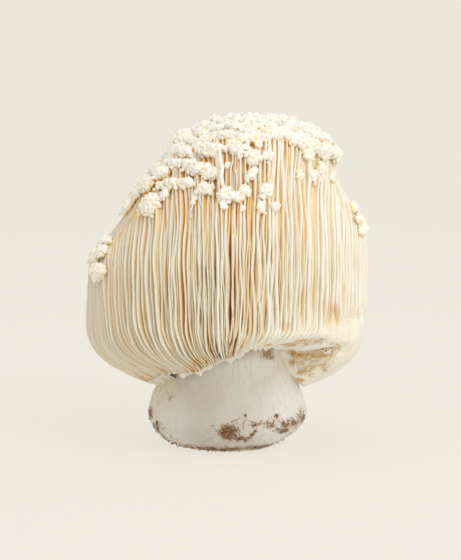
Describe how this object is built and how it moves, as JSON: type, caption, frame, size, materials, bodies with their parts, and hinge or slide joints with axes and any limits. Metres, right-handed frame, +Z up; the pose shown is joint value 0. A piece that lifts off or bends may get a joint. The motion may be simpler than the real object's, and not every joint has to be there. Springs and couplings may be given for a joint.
{
  "type": "lion's mane mushroom",
  "caption": "Picked fungus with a round cap hung with long soft spines, a crumbly tufted crown and a short stout stem that is cut flat at its foot.",
  "frame": {"origin": "middle of the flat cut under the stem, which it stands on", "axes": "+Z up from the cut through the stem and the cap, +X to the right and -Y towards the front, as in the picture"},
  "size_m": [0.1104, 0.1039, 0.1284],
  "materials": {
    "cap": "matte",
    "stem": "matte"
  },
  "bodies": {
    "root": {"cap": "cap", "stem": "stem"}
  },
  "joints": []
}
